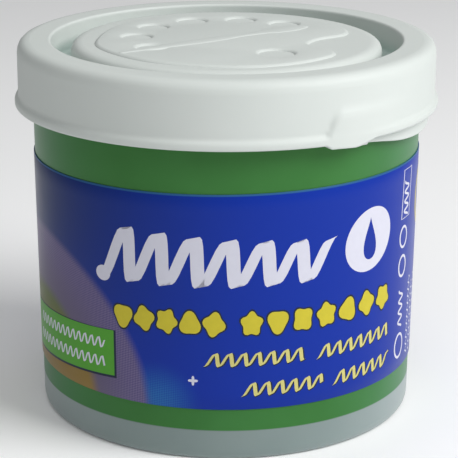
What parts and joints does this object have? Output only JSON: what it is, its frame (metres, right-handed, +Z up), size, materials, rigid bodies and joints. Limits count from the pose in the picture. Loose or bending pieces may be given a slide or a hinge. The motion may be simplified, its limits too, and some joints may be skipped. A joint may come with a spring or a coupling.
{
  "type": "snap-lid paint jar",
  "caption": "Small round tapered paint jar with a raised foot, a wrap-round label, its paint inside, and a press-fit plug lid with a lift tab.",
  "frame": {"origin": "centre of the jar's foot ring, on the table, at the bottom centre of the bounding box", "axes": "+Z up along the jar's axis, the way the lid lifts off; the front of the label faces -Y; +X is to the right seen from the front"},
  "size_m": [0.0468, 0.0468, 0.0413],
  "materials": {
    "jar_plastic": "milky translucent moulded polypropylene, satin",
    "paint": "thick opaque green water paint, wet",
    "label_film": "printed plastic film, blue, satin gloss",
    "lid_plastic": "pale grey-white moulded polyethylene, satin"
  },
  "bodies": {
    "jar": {"jar_body": "jar_plastic", "paint": "paint", "label": "label_film"},
    "lid": {"lid": "lid_plastic"}
  },
  "joints": [
    {"name": "lid_lift", "type": "slide", "parent": "jar", "child": "lid", "axis": [0, 0, 1], "range_m": [0, 0.03]}
  ]
}
